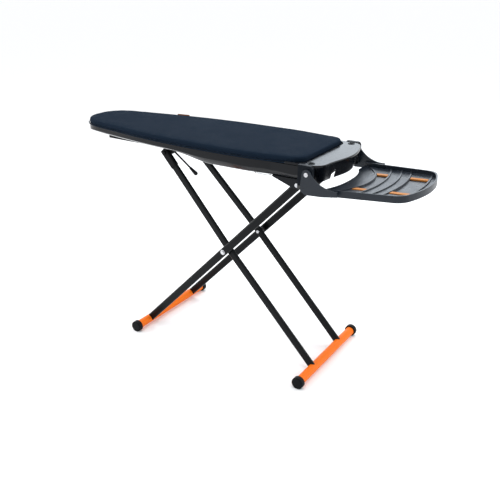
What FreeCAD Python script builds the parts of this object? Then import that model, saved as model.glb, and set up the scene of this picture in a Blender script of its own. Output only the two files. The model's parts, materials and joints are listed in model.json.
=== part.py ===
import FreeCAD
import Part
import math
import os

# Ironing board with crossed legs, moulded hull, fan, sliding height carriage and fold-over iron tray.
# Millimetres. +X runs from the nose to the iron tray, +Y to the left side, +Z up, origin on the floor.

V = FreeCAD.Vector
X_DIR = V(1, 0, 0)
Y_DIR = V(0, 1, 0)
Z_DIR = V(0, 0, 1)
LEFT = 1
RIGHT = -1
SIDES = (("left", LEFT), ("right", RIGHT))

# ---- overall sizes ----
pad_length = 1200.0
pad_width = 432.0
pad_thickness = 29.0
pad_edge_radius = 12.0
board_height = 938.0
tray_pivot_from_nose = 1232.0
tray_reach = 394.0
overall_length = tray_pivot_from_nose + tray_reach
nose_x = -overall_length / 2.0

# ---- ironing surface and hull ----
heel_corner_radius = 58.0
side_taper = 0.13
curve_samples = 48
mesh_thickness = 1.2
mesh_inset = 8.0
mesh_hole_pitch = 62.0
mesh_hole_radius = 9.0
hull_inset = 6.0
hull_wall = 3.0
hull_lip = 14.0
hull_flare = 10.0
seat_gap = 0.15
station_pitch = 60.0
hull_nose_bottom = 877.0
hull_bottom = 851.0
hull_heel_half_width = 197.0
hull_side_inset = 26.0
hull_nose_inset = 52.0
hull_heel_x = nose_x + 1208.0
mesh_top_z = board_height - pad_thickness - 0.3
hull_top_z = mesh_top_z - mesh_thickness

# ---- heel deck, apron and side cheeks ----
deck_thickness = 8.0
deck_top_z = board_height - 20.0
deck_bow_x = nose_x + 1305.0
deck_half_width = 197.0
deck_corner_x = nose_x + 1234.0
deck_pad_gap = 1.5
apron_wall = 3.5
apron_inset = 14.0
apron_bottom_z = 850.0
notch_y = 88.0
notch_width = 24.0
notch_top_z = 884.0
socket_x = nose_x + 1226.0
socket_y = 172.0
socket_bore_radius = 9.0
socket_sleeve_radius = 12.0
socket_depth = 34.0
cheek_outer_y = 214.0
cheek_depth = 17.0
cheek_wall = 3.5
cheek_front_x = nose_x + 1193.0
cheek_rear_x = nose_x + 1252.0
cheek_top_z = 920.0
cheek_bottom_z = 828.0

# ---- legs ----
floor_tube_radius = 19.0
floor_tube_wall = 1.5
foot_cap_radius = 25.5
foot_cap_length = 22.0
foot_cap_dome = 5.0
foot_cap_flat = 0.8
foot_bar_length = 515.0
tube_depth = 34.0
tube_width = 17.0
tube_wall = 1.5
leg_upper_length = 500.0
crossing_x = nose_x + 824.0
crossing_z = 471.0
inner_foot_x = nose_x + 1244.0
outer_foot_x = nose_x + 387.5
outer_leg_y = 160.0
inner_leg_y = 121.0
inner_leg_top_y = 94.5
tube_end_beyond_axle = 9.0
running_clearance = 0.05

# ---- axles and fasteners ----
axle_radius = 5.0
nut_radius = 7.5
nut_height = 6.5
crossing_bolt_radius = 4.0
screw_radius = 2.0
screw_head_radius = 4.0
screw_head_height = 2.4
leg_bracket_y = 176.0
leg_bracket_thickness = 5.0
leg_bracket_boss = 15.0
bracket_flange = 2.5
rivet_head_radius = 8.0

# ---- height carriage, rails and lever ----
rail_y = 64.0
rail_width = 34.0
rail_height = 24.0
rail_wall = 2.0
rail_slot = 18.0
slide_clearance = 0.5
carriage_travel = 306.0
carriage_length = 44.0
rack_length = 296.0
rack_pitch = 25.0
lever_y = 46.0
lever_hub_radius = 12.0
lever_rod_radius = 4.0
lever_length = 142.0
lever_knob_radius = 9.0
lever_knob_length = 44.0
lever_angle = 36.0

# ---- iron tray ----
tray_pivot_z = 888.6
tray_tilt = 3.2
tray_rim_drop = 50.4
tray_rim_height = 26.0
tray_floor_drop = 67.0
tray_floor_thickness = 6.0
tray_wall = 5.0
tray_half_width = 214.0
tray_end_half_width = 181.0
tray_corner_radius = 36.0
tray_end_sag = 38.0
tray_inner_bow = 72.0
ear_inner_y = 215.0
ear_thickness = 6.0
ear_radius = 18.0
tray_rib_height = 4.0
tray_rib_width = 6.0
tray_pocket_depth = 3.0
groove_width = 10.0
groove_depth = 5.0
grip_width = 21.0

# ---- fan ----
fan_x = nose_x + 1040.0
fan_housing_radius = 88.0
fan_height = 40.0
fan_wall = 2.5
impeller_radius = 66.0
impeller_blades = 18
motor_radius = 26.0
intake_radius = impeller_radius - 14.0

switch_x = nose_x + 1130.0
switch_z = 891.0
inlet_x = nose_x + 1128.0
inlet_y = 90.0
inlet_length = 28.0
inlet_width = 18.0

# ---- transport lock ----
lock_x = nose_x + 987.0
lock_length = 68.0
lock_hinge_y = 141.0
lock_reach = 42.0
lock_wire_radius = 1.75


def unit(a):
    return a.multiply(1.0 / a.Length)


def along(axle, foot):
    return unit(V(foot.x - axle.x, 0, foot.z - axle.z))


# ---- linkage geometry worked out from the driving sizes ----
foot_axis_z = foot_cap_radius - foot_cap_flat
crossing = V(crossing_x, 0, crossing_z)
inner_foot = V(inner_foot_x, 0, foot_axis_z)
outer_foot = V(outer_foot_x, 0, foot_axis_z)
inner_dir = along(crossing, inner_foot)
outer_dir = along(crossing, outer_foot)
carriage_axle = crossing - inner_dir * leg_upper_length
leg_pivot = crossing - outer_dir * leg_upper_length
rail_slope = math.degrees(math.atan2(carriage_axle.z - leg_pivot.z, leg_pivot.x - carriage_axle.x))
tray_pivot = V(nose_x + tray_pivot_from_nose, 0, tray_pivot_z)


def box(x0, x1, y0, y1, z0, z1):
    return Part.makeBox(x1 - x0, y1 - y0, z1 - z0, V(x0, y0, z0))


def rod(start, direction, radius, length):
    return Part.makeCylinder(radius, length, start, direction)


def tube(start, direction, radius, bore, length):
    return rod(start, direction, radius, length).cut(rod(start, direction, bore, length))


def cross_rod(x, z, radius, y0, y1):
    return rod(V(x, y0, z), Y_DIR, radius, y1 - y0)


def side_plate(points, y0, y1):
    wire = Part.makePolygon([V(x, y0, z) for x, z in points + points[:1]])
    return Part.Face(wire).extrude(V(0, y1 - y0, 0))


def planar_face(wires):
    """Face inside the first wire, less the areas inside the others."""
    return Part.makeFace(wires, "Part::FaceMakerBullseye")


def mirror(shape):
    return shape.mirror(V(0, 0, 0), Y_DIR)


def on_side(shape, side):
    return shape if side == LEFT else mirror(shape)


def both(shape):
    return Part.makeCompound([shape, mirror(shape)])


def export(shape, name):
    solids = shape.Solids
    result = solids[0] if len(solids) == 1 else Part.makeCompound(solids)
    bad = "" if all(s.isValid() for s in solids) else " INVALID"
    print(f"{name}: {len(solids)} solid(s), {sum(s.Volume for s in solids) / 1000:.1f} cm3{bad}")
    result.exportStep(f"parts/{name}.step")


# Plan outline of the pad: share of the length from the nose, share of the half width.
PAD_OUTLINE = (
    (0.0, 0.0),
    (0.0135, 0.345),
    (0.050, 0.540),
    (0.127, 0.670),
    (0.249, 0.795),
    (0.388, 0.910),
    (0.597, 0.993),
    (0.750, 1.0),
    (0.885, 0.945),
)


def spline(points):
    """Interpolated curve whose ends run parallel to the tapered sides."""
    curve = Part.BSplineCurve()
    curve.interpolate(Points=points, InitialTangent=V(-1, -side_taper, 0), FinalTangent=V(1, -side_taper, 0))
    return curve


def pad_curve(inset=0.0):
    """Spline round the nose, from the right side end to the left side end, drawn in by the inset."""
    left = [V(nose_x + a * pad_length, b * pad_width / 2, 0) for a, b in PAD_OUTLINE]
    right = [V(p.x, -p.y, 0) for p in left[:0:-1]]
    curve = spline(right + left)
    if inset == 0:
        return curve
    first = curve.FirstParameter
    step = (curve.LastParameter - first) / curve_samples
    points = []
    for k in range(curve_samples + 1):
        tangent = curve.tangent(first + k * step)[0]
        points.append(curve.value(first + k * step) + V(tangent.y, -tangent.x, 0) * inset)
    return spline(points)


def pad_outline(inset):
    """Closed plan wire of the pad, drawn in by the inset."""
    curve = pad_curve(inset)
    radius = heel_corner_radius - inset
    side_end = curve.value(curve.LastParameter)
    normal = unit(V(side_taper, 1, 0))
    centre_x = nose_x + pad_length - heel_corner_radius
    arc_start_x = centre_x + radius * normal.x
    arc_start = V(arc_start_x, side_end.y - side_taper * (arc_start_x - side_end.x), 0)
    centre = V(centre_x, arc_start.y - radius * normal.y, 0)
    arc_end = centre + V(radius, 0, 0)
    arc_mid = centre + unit(normal + X_DIR) * radius
    corner = [
        Part.LineSegment(side_end, arc_start).toShape(),
        Part.Arc(arc_start, arc_mid, arc_end).toShape(),
    ]
    heel = Part.LineSegment(arc_end, V(arc_end.x, -arc_end.y, 0)).toShape()
    edges = [curve.toShape(), heel] + corner + [mirror(e) for e in corner]
    return Part.Wire(Part.__sortEdges__(edges))


def pad_prism(inset, z0, z1):
    wire = pad_outline(inset)
    wire.translate(V(0, 0, z0))
    return planar_face([wire]).extrude(V(0, 0, z1 - z0))


def pad_half_width(x):
    curve = pad_curve()
    low = (curve.FirstParameter + curve.LastParameter) / 2
    high = curve.LastParameter
    for _ in range(40):
        middle = (low + high) / 2
        if curve.value(middle).x < x:
            low = middle
        else:
            high = middle
    return curve.value(low).y


def make_padded_cover():
    pad = pad_prism(0, board_height - pad_thickness, board_height)
    top_edges = [e for e in pad.Edges if e.BoundBox.ZMin > board_height - 0.01]
    return pad.makeFillet(pad_edge_radius, top_edges)


def make_mesh_top():
    """Perforated ironing plate; the holes are inner wires of one extruded face."""
    outline = pad_outline(mesh_inset)
    outline.translate(V(0, 0, hull_top_z))
    holes = []
    for column in range(1, int(pad_length / mesh_hole_pitch)):
        x = nose_x + column * mesh_hole_pitch
        reach = pad_half_width(min(x, nose_x + 0.88 * pad_length)) - 45
        count = int(reach / mesh_hole_pitch)
        for row in range(-count, count + 1):
            centre = V(x, row * mesh_hole_pitch, hull_top_z)
            holes.append(Part.Wire(Part.makeCircle(mesh_hole_radius, centre, Z_DIR)))
    return planar_face([outline] + holes).extrude(V(0, 0, mesh_thickness))


# Hull stations: distance from the nose, height of the underside above the nose bottom or mid bottom.
def hull_bottom_at(s):
    ramp_start = 590.0
    ramp_end = 800.0
    share = min(max((s - ramp_start) / (ramp_end - ramp_start), 0.0), 1.0)
    eased = share * share * (3 - 2 * share)
    return hull_nose_bottom + (hull_bottom - hull_nose_bottom) * eased


def hull_half_width_at(s):
    flare = 30.0 * max(1.0 - s / 110.0, 0.0)
    under_pad = pad_half_width(nose_x + min(max(s, 12.0), 0.88 * pad_length)) - hull_inset + flare
    return max(under_pad, hull_heel_half_width) if s > 600.0 else under_pad


def hull_section(s, wall):
    """U section across the hull at a distance from the nose, drawn in by the wall."""
    x = nose_x + s
    top = hull_top_z + (20.0 if wall else 0.0)
    lip = hull_top_z - hull_lip + 6
    half = hull_half_width_at(s) - wall
    bottom = hull_bottom_at(s) + wall
    nose_share = max(1.0 - s / 150.0, 0.0)
    drawn_in = hull_side_inset + (hull_nose_inset - hull_side_inset) * nose_share
    foot = max(half - drawn_in, 12.0)
    rim = half + hull_flare
    poles = [V(x, rim, lip), V(x, half + 2, (lip + bottom) / 2), V(x, foot + 10, bottom), V(x, foot, bottom)]
    curve = Part.BezierCurve()
    curve.setPoles(poles)
    left = curve.toShape()
    right = mirror(left)
    lines = [
        Part.LineSegment(V(x, rim, top), V(x, -rim, top)).toShape(),
        Part.LineSegment(V(x, -rim, top), V(x, -rim, lip)).toShape(),
        Part.LineSegment(V(x, -foot, bottom), V(x, foot, bottom)).toShape(),
        Part.LineSegment(V(x, rim, lip), V(x, rim, top)).toShape(),
    ]
    return Part.Wire([lines[0], lines[1], right, lines[2], left, lines[3]])


def hull_plan(wall):
    """Upright prism of the hull's plan: the pad outline forward, a straight-sided heel behind it."""
    z0 = hull_bottom - 20
    z1 = hull_top_z + 30
    half = hull_heel_half_width - wall
    heel = box(nose_x + 960, hull_heel_x - wall, -half, half, z0, z1)
    return pad_prism(hull_inset + wall, z0, z1).fuse(heel)


def hull_body(wall):
    """Solid of the hull, drawn in by the wall: one loft trimmed to the plan."""
    stations = [station_pitch * k - 20.0 for k in range(22)]
    loft = Part.makeLoft([hull_section(s, wall) for s in stations], True, False)
    return loft.common(hull_plan(wall))


def bracket_screw_points():
    y = leg_bracket_y - 9.0
    return [V(leg_pivot.x + dx, y, hull_bottom - bracket_flange) for dx in (-92.0, -38.0, 18.0)]


def make_hull():
    shell = hull_body(0.0).cut(hull_body(hull_wall))
    intake = rod(V(fan_x, 0, hull_bottom - 5), Z_DIR, intake_radius, 20)
    half = hull_heel_half_width
    switch_hole = box(switch_x - 11, switch_x + 11, half - 30, half + 5, switch_z - 7, switch_z + 7)
    inlet = inlet_block(0.3, hull_bottom - 5, hull_bottom + 10)
    screws = [rod(p, Z_DIR, screw_radius, 12) for p in bracket_screw_points()]
    screw_holes = both(Part.makeCompound(screws))
    return shell.cut(Part.makeCompound([intake, switch_hole, inlet, screw_holes]))


def deck_curve(inset, z):
    """Bowed rear edge of the heel, from the left side round to the right."""
    half = deck_half_width - inset
    bow = deck_bow_x - inset
    corner = V(deck_corner_x - inset * 0.5, half, z)
    shoulder = V(bow - 0.17 * (bow - deck_corner_x) - 12, half * 0.70, z)
    points = [corner, shoulder, V(bow, 0, z), V(shoulder.x, -shoulder.y, z), V(corner.x, -corner.y, z)]
    curve = Part.BSplineCurve()
    curve.interpolate(Points=points, InitialTangent=V(1, -0.35, 0), FinalTangent=V(-1, -0.35, 0))
    return curve.toShape()


def deck_wire(inset, front_x, z):
    arc = deck_curve(inset, z)
    start = arc.Vertexes[0].Point
    end = arc.Vertexes[-1].Point
    front_left = V(front_x, start.y, z)
    front_right = V(front_x, end.y, z)
    lines = [
        Part.LineSegment(end, front_right).toShape(),
        Part.LineSegment(front_right, front_left).toShape(),
        Part.LineSegment(front_left, start).toShape(),
    ]
    return Part.Wire([arc] + lines)


def make_heel_deck():
    z0 = deck_top_z - deck_thickness
    front = nose_x + 1128.0
    deck = Part.Face(deck_wire(0, front, z0)).extrude(V(0, 0, deck_thickness))
    rear_edges = [e for e in deck.Edges if e.BoundBox.ZMin > deck_top_z - 0.01 and e.BoundBox.YLength > 300]
    deck = deck.makeFillet(3.0, [e for e in rear_edges if e.BoundBox.XLength > 20])
    pad = pad_prism(-deck_pad_gap, z0 - 5, deck_top_z + 5)
    holes = [rod(V(socket_x, side * socket_y, z0 - 1), Z_DIR, socket_sleeve_radius, deck_thickness + 2)
             for _, side in SIDES]
    return deck.cut(pad).cut(Part.makeCompound(holes))


def make_socket_sleeves():
    depth = socket_depth
    z0 = deck_top_z - depth
    bottom = V(socket_x, socket_y, z0)
    sleeve = rod(bottom, Z_DIR, socket_sleeve_radius, depth)
    collar = rod(V(socket_x, socket_y, deck_top_z), Z_DIR, socket_sleeve_radius + 2, 1.5)
    bore = rod(bottom + V(0, 0, 3), Z_DIR, socket_bore_radius, depth)
    return both(sleeve.fuse(collar).cut(bore))


def apron_body(wall):
    top_z = deck_top_z - deck_thickness
    upper = deck_wire(3.0 + wall, hull_heel_x + 0.3, top_z)
    lower = deck_wire(3.0 + apron_inset + wall, hull_heel_x + 0.3, apron_bottom_z)
    return Part.makeLoft([upper, lower], True, True)


def make_heel_apron():
    outer = apron_body(0.0)
    inner = apron_body(apron_wall)
    half_opening = deck_half_width - 24
    z0 = apron_bottom_z - 10
    front = box(hull_heel_x, hull_heel_x + 40, -half_opening, half_opening, z0, deck_top_z - 8)
    apron = outer.cut(inner).cut(front.common(inner))
    half = notch_width / 2
    slots = []
    for _, side in SIDES:
        y = side * notch_y
        x1 = deck_bow_x + 20
        slots.append(box(hull_heel_x + 30, x1, y - half, y + half, z0, notch_top_z - half))
        slots.append(rod(V(hull_heel_x + 30, y, notch_top_z - half), X_DIR, half, 120))
    return apron.cut(Part.makeCompound(slots))


def make_side_cheek():
    inner_y = cheek_outer_y - cheek_depth
    height = (cheek_bottom_z, cheek_top_z)
    block = box(cheek_front_x, cheek_rear_x, inner_y, cheek_outer_y, *height)
    long_edges = [e for e in block.Edges if e.BoundBox.YLength > 1 and e.BoundBox.XMin > cheek_rear_x - 1]
    block = block.makeFillet(14.0, long_edges)
    x0 = cheek_front_x + cheek_wall
    x1 = cheek_rear_x - cheek_wall
    z0 = cheek_bottom_z + cheek_wall
    z1 = cheek_top_z - cheek_wall
    hollow = box(x0, x1, inner_y - 1, cheek_outer_y - cheek_wall, z0, z1)
    boss = cross_rod(tray_pivot.x, tray_pivot.z, 12.0, inner_y, cheek_outer_y - 1)
    pin_hole = cross_rod(tray_pivot.x, tray_pivot.z, axle_radius, inner_y - 1, cheek_outer_y + 1)
    return block.cut(hollow).fuse(boss).cut(pin_hole)


def make_tray_pivot_pins():
    inner_y = cheek_outer_y - cheek_depth
    outer_y = ear_inner_y + ear_thickness
    pin = cross_rod(tray_pivot.x, tray_pivot.z, axle_radius, inner_y, outer_y + 1)
    head = cross_rod(tray_pivot.x, tray_pivot.z, rivet_head_radius, outer_y + 0.4, outer_y + 3.4)
    x = tray_pivot.x
    z = tray_pivot.z
    slot = box(x - 6, x + 6, outer_y + 2.2, outer_y + 5, z - 0.8, z + 0.8)
    return both(pin.fuse(head).cut(slot))


# ---- leg pivot at the heel ----
def make_leg_bracket():
    y0 = leg_bracket_y
    y1 = leg_bracket_y + leg_bracket_thickness
    top = hull_bottom
    toe_x = leg_pivot.x - 108
    rear_x = leg_pivot.x + 30
    outline = [
        (toe_x, top - 4),
        (toe_x, top),
        (rear_x, top),
        (rear_x, leg_pivot.z),
        (leg_pivot.x, leg_pivot.z - leg_bracket_boss),
        (leg_pivot.x - 22, leg_pivot.z - 12),
    ]
    plate = side_plate(outline, y0, y1)
    boss = cross_rod(leg_pivot.x, leg_pivot.z, leg_bracket_boss, y0, y1)
    flange = box(toe_x, rear_x, y0 - 22, y0, top - bracket_flange, top)
    hole = cross_rod(leg_pivot.x, leg_pivot.z, axle_radius, y0 - 1, y1 + 1)
    screws = [rod(p - Z_DIR, Z_DIR, screw_radius, 6) for p in bracket_screw_points()]
    return plate.fuse(boss).fuse(flange).cut(hole).cut(Part.makeCompound(screws)).removeSplitter()


def make_bracket_screws():
    """Screws up through the bracket flanges into the hull floor."""
    screws = []
    for point in bracket_screw_points():
        head = rod(point - Z_DIR * screw_head_height, Z_DIR, screw_head_radius, screw_head_height)
        slot = box(point.x - 3, point.x + 3, point.y - 0.5, point.y + 0.5, point.z - 3, point.z - 1.4)
        screws.append(head.fuse(rod(point, Z_DIR, screw_radius, 9)).cut(slot))
    return both(Part.makeCompound(screws))


def make_leg_axle():
    reach = leg_bracket_y + leg_bracket_thickness
    axle = cross_rod(leg_pivot.x, leg_pivot.z, axle_radius, -reach, reach)
    heads = cross_rod(leg_pivot.x, leg_pivot.z, rivet_head_radius, reach, reach + 3)
    return axle.fuse(heads).fuse(mirror(heads))


def oval_bar(centres, direction, depth, width):
    """Flat-oval bar through the centres, its long axis in the folding plane."""
    across = unit(Y_DIR.cross(direction))
    r = width / 2
    flat = across * ((depth - width) / 2)
    wires = []
    for centre in centres:
        a = centre + flat
        b = centre - flat
        edges = [
            Part.LineSegment(a + Y_DIR * r, b + Y_DIR * r).toShape(),
            Part.Arc(b + Y_DIR * r, b - across * r, b - Y_DIR * r).toShape(),
            Part.LineSegment(b - Y_DIR * r, a - Y_DIR * r).toShape(),
            Part.Arc(a - Y_DIR * r, a + across * r, a + Y_DIR * r).toShape(),
        ]
        wires.append(Part.Wire(edges))
    return Part.makeLoft(wires, True, True)


def oval_tube(centres, direction):
    bore = oval_bar(centres, direction, tube_depth - 2 * tube_wall, tube_width - 2 * tube_wall)
    return oval_bar(centres, direction, tube_depth, tube_width).cut(bore)


def inner_leg_point(share):
    """Centre of the inner leg's upper half: 0 at the crossing, 1 at the carriage axle."""
    bend = crossing + V(0, inner_leg_y, 0)
    return bend + (carriage_axle + V(0, inner_leg_top_y, 0) - bend) * share


def make_outer_leg():
    y = V(0, outer_leg_y, 0)
    leg = oval_tube([outer_foot + y, leg_pivot - outer_dir * tube_end_beyond_axle + y], outer_dir)
    y0 = outer_leg_y - tube_width
    y1 = outer_leg_y + tube_width
    saddle = cross_rod(outer_foot.x, outer_foot.z, floor_tube_radius, y0, y1)
    pivot_hole = cross_rod(leg_pivot.x, leg_pivot.z, axle_radius + running_clearance, y0, y1)
    bolt_hole = cross_rod(crossing.x, crossing.z, crossing_bolt_radius, y0, y1)
    return leg.cut(saddle).cut(pivot_hole).cut(bolt_hole)


def make_inner_leg():
    foot = inner_foot + V(0, inner_leg_y, 0)
    top = inner_leg_point(1 + 12.0 / leg_upper_length)
    leg = oval_tube([foot, inner_leg_point(0), top], inner_dir)
    y0 = inner_leg_top_y - 30
    y1 = inner_leg_y + 30
    saddle = cross_rod(inner_foot.x, inner_foot.z, floor_tube_radius, y0, y1)
    axle_hole = cross_rod(carriage_axle.x, carriage_axle.z, axle_radius, y0, y1)
    bolt_hole = cross_rod(crossing.x, crossing.z, crossing_bolt_radius + running_clearance, y0, y1)
    return leg.cut(saddle).cut(axle_hole).cut(bolt_hole)


def make_foot_bar(foot):
    half = foot_bar_length / 2
    inner_radius = floor_tube_radius - floor_tube_wall
    return tube(V(foot.x, -half, foot.z), Y_DIR, floor_tube_radius, inner_radius, 2 * half)


def make_foot_caps(foot):
    start = foot_bar_length / 2 - foot_cap_length + 6
    cap = rod(V(foot.x, start, foot.z), Y_DIR, foot_cap_radius, foot_cap_length)
    end_y = start + foot_cap_length - 0.01
    end_edges = [e for e in cap.Edges if e.BoundBox.YMin > end_y and e.BoundBox.XLength > 1]
    cap = cap.makeFillet(foot_cap_dome, end_edges)
    socket = rod(V(foot.x, start - 1, foot.z), Y_DIR, floor_tube_radius, foot_cap_length - 5)
    plug = rod(V(foot.x, start, foot.z), Y_DIR, floor_tube_radius - floor_tube_wall, foot_cap_length - 5)
    below_floor = box(foot.x - 40, foot.x + 40, start - 1, start + foot_cap_length + 1, -10, 0)
    return both(cap.cut(socket).fuse(plug).cut(below_floor))


def make_crossing_bolts():
    y0 = inner_leg_y - tube_width / 2 - 3.2
    y1 = outer_leg_y + tube_width / 2 + 1.2
    bolt = cross_rod(crossing.x, crossing.z, crossing_bolt_radius, y0 - 4, y1)
    head = cross_rod(crossing.x, crossing.z, nut_radius, y1, y1 + 4.5)
    rim = [e for e in head.Edges if e.BoundBox.YMin > y1 + 4.4 and e.BoundBox.XLength > 1]
    return both(bolt.fuse(head.makeFillet(2.0, rim)))


def make_crossing_nuts():
    y1 = inner_leg_y - tube_width / 2 - 0.4
    corners = []
    for k in range(7):
        angle = math.radians(60 * k)
        x = crossing.x + nut_radius * math.cos(angle)
        z = crossing.z + nut_radius * math.sin(angle)
        corners.append(V(x, y1 - nut_height, z))
    nut = Part.Face(Part.makePolygon(corners)).extrude(V(0, nut_height, 0))
    return both(nut.cut(cross_rod(crossing.x, crossing.z, crossing_bolt_radius, y1 - 10, y1 + 5)))


def make_crossing_washers():
    y0 = outer_leg_y + tube_width / 2
    return both(tube(V(crossing.x, y0, crossing.z), Y_DIR, 11.0, crossing_bolt_radius, 1.2))


def make_crossing_spacers():
    y0 = inner_leg_y + tube_width / 2 + 0.4
    y1 = outer_leg_y - tube_width / 2
    return both(tube(V(crossing.x, y0, crossing.z), Y_DIR, 10.5, crossing_bolt_radius, y1 - y0))


def make_pivot_spacers():
    """Sleeves on the heel axle that keep the outer legs against their brackets."""
    y0 = outer_leg_y + tube_width / 2 + 0.4
    outside = tube(V(leg_pivot.x, y0, leg_pivot.z), Y_DIR, 9.0, axle_radius, leg_bracket_y - y0)
    inside_length = outer_leg_y - tube_width / 2 - 120.4
    inside = tube(V(leg_pivot.x, 120, leg_pivot.z), Y_DIR, 9.0, axle_radius, inside_length)
    return both(Part.makeCompound([outside, inside]))


# ---- sliding height carriage ----
def rail_frame(shape):
    """Lean a shape drawn level at the carriage axle into line with the rails."""
    return shape.rotate(carriage_axle, Y_DIR, rail_slope)


def make_rail():
    x0 = carriage_axle.x - carriage_travel - carriage_length / 2 - 12
    x1 = carriage_axle.x + carriage_length / 2 + 12
    z1 = hull_nose_bottom - 5.0
    y0 = rail_y - rail_width / 2
    y1 = rail_y + rail_width / 2
    rail = box(x0, x1, y0, y1, z1 - rail_height, z1)
    hollow = box(x0 - 1, x1 + 1, y0 + rail_wall, y1 - rail_wall, z1 - rail_height + rail_wall, z1 - rail_wall)
    slot = box(x0 - 1, x1 + 1, rail_y - rail_slot / 2, rail_y + rail_slot / 2, z1 - rail_height - 1, z1 - 10)
    return rail_frame(rail.cut(hollow).cut(slot))


def make_rail_end_stops():
    z1 = hull_nose_bottom - 5.0 - rail_wall - 0.1
    z0 = hull_nose_bottom - 5.0 - rail_height + rail_wall + 0.1
    half = rail_width / 2 - rail_wall - 0.1
    blocks = []
    reach = carriage_length / 2
    for x in (carriage_axle.x - carriage_travel - reach - 10, carriage_axle.x + reach + 4):
        blocks.append(rail_frame(box(x, x + 6, rail_y - half, rail_y + half, z0, z1)))
    return both(Part.makeCompound(blocks))


def make_rail_mounts():
    """Pads that stand the rails off the hull."""
    pads = []
    for share in (0.06, 0.5, 0.9):
        x = carriage_axle.x - carriage_travel + share * carriage_travel
        z = hull_nose_bottom
        pad = box(x - 14, x + 14, rail_y - 14, rail_y + 14, z - 12, z - seat_gap)
        level = box(x - 30, x + 30, rail_y - 30, rail_y + 30, z - 40, z - 5.0)
        pads.append(pad.cut(rail_frame(level)))
    return both(Part.makeCompound(pads))


def make_carriage_blocks():
    z1 = hull_nose_bottom - 5.0 - rail_wall - slide_clearance
    z0 = hull_nose_bottom - 5.0 - rail_height + rail_wall + slide_clearance
    x0 = carriage_axle.x - carriage_length / 2
    x1 = carriage_axle.x + carriage_length / 2
    half = rail_width / 2 - rail_wall - slide_clearance
    neck = rail_slot / 2 - slide_clearance
    head = box(x0, x1, rail_y - half, rail_y + half, z0, z1)
    stem = box(x0 + 2, x1 - 2, rail_y - neck, rail_y + neck, carriage_axle.z - 13, z0 + 1)
    stem_edges = [e for e in stem.Edges if e.BoundBox.YLength > 1 and e.BoundBox.ZMax < carriage_axle.z]
    stem = stem.makeFillet(10.0, stem_edges)
    bore_radius = axle_radius + running_clearance
    hole = cross_rod(carriage_axle.x, carriage_axle.z, bore_radius, rail_y - 40, rail_y + 40)
    return both(rail_frame(head.fuse(stem).cut(hole)))


def make_carriage_bridge():
    """Channel in front of the axle that joins both carriage blocks."""
    x1 = carriage_axle.x - 16.5
    z0 = carriage_axle.z - 2
    z1 = carriage_axle.z + 11
    half = rail_y - rail_slot / 2 + slide_clearance
    web = box(x1 - 3, x1, -half, half, z0, z1)
    lower = box(x1 - 12, x1, -half + 2, half - 2, z0, z0 + 2.5)
    upper = box(x1 - 12, x1, -half + 2, half - 2, z1 - 2.5, z1)
    return rail_frame(web.fuse([lower, upper]))


def make_carriage_axle():
    reach = inner_leg_top_y + tube_width / 2 + 5.5
    return cross_rod(carriage_axle.x, carriage_axle.z, axle_radius, -reach, reach)


def make_axle_end_caps():
    y0 = inner_leg_top_y + tube_width / 2 + 3.2
    cap = rod(V(carriage_axle.x, y0, carriage_axle.z), Y_DIR, 9.0, 5.0)
    bore = rod(V(carriage_axle.x, y0 - 1, carriage_axle.z), Y_DIR, axle_radius, 3.3)
    return both(cap.cut(bore))


def make_leg_end_sleeves():
    """Moulded sleeves over the upper ends of the inner legs."""
    ends = (1 - 74.0 / leg_upper_length, 1 + 14.5 / leg_upper_length)
    outer = oval_bar([inner_leg_point(k) for k in ends], inner_dir, tube_depth + 6, tube_width + 5)
    core = oval_bar([inner_leg_point(k) for k in (0.5, 1.5)], inner_dir, tube_depth, tube_width)
    y = inner_leg_top_y
    hole = cross_rod(carriage_axle.x, carriage_axle.z, axle_radius, y - 30, y + 30)
    return both(outer.cut(core).cut(hole))


def make_height_rack():
    """Toothed bar under the hull; its leaning top is trimmed level against the hull floor."""
    root_z = carriage_axle.z + 29.0
    tip_z = carriage_axle.z + 20.0
    top_z = hull_nose_bottom + 6.0
    x0 = carriage_axle.x - rack_length
    points = [(x0, top_z), (x0, root_z)]
    for step in range(int(rack_length / rack_pitch)):
        x = x0 + step * rack_pitch
        points += [(x + 4, root_z), (x + 4.5, tip_z), (x + 12, tip_z), (x + 14, root_z)]
    points += [(x0 + rack_length, root_z), (x0 + rack_length, top_z)]
    bar = rail_frame(side_plate(points, -6.0, 6.0))
    z = hull_nose_bottom - seat_gap
    return bar.cut(box(x0 - 20, x0 + rack_length + 20, -10, 10, z, z + 30))


def lever_point(distance):
    a = math.radians(lever_angle)
    return V(carriage_axle.x + distance * math.cos(a), -lever_y, carriage_axle.z - distance * math.sin(a))


def make_lever():
    hub = tube(V(carriage_axle.x, -lever_y - 7, carriage_axle.z), Y_DIR, lever_hub_radius,
               axle_radius + running_clearance, 14)
    start = lever_point(lever_hub_radius - 1.5)
    direction = unit(lever_point(100) - lever_point(0))
    arm = rod(start, direction, lever_rod_radius, lever_length - lever_hub_radius + 1.5)
    return hub.fuse(arm)


def make_lever_knob():
    direction = unit(lever_point(100) - lever_point(0))
    start = lever_point(lever_length - lever_knob_length + 16)
    cone = Part.makeCone(lever_rod_radius + 1.5, lever_knob_radius, lever_knob_length - 8, start, direction)
    tip = Part.makeSphere(lever_knob_radius, start + direction * (lever_knob_length - 8))
    core = rod(start - direction, direction, lever_rod_radius, lever_knob_length - 15)
    return cone.fuse(tip).cut(core)


def make_latch_pawl():
    """Hooked plate fixed to the lever hub, which drops out of the rack when the lever is squeezed."""
    x = carriage_axle.x
    z = carriage_axle.z
    y0 = -lever_y + 7.0
    outline = [(x - 9, z + 4), (x - 7, z + 13), (x + 7, z + 13), (x + 9, z - 9), (x - 6, z - 9)]
    plate = side_plate(outline, y0, y0 + 4)
    return plate.cut(cross_rod(x, z, axle_radius + running_clearance, y0 - 1, y0 + 5))


# ---- iron tray ----
def tray_frame(shape):
    """Tip a shape drawn level at the tray pivot up to its resting angle."""
    return shape.rotate(tray_pivot, Y_DIR, -tray_tilt)


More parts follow.
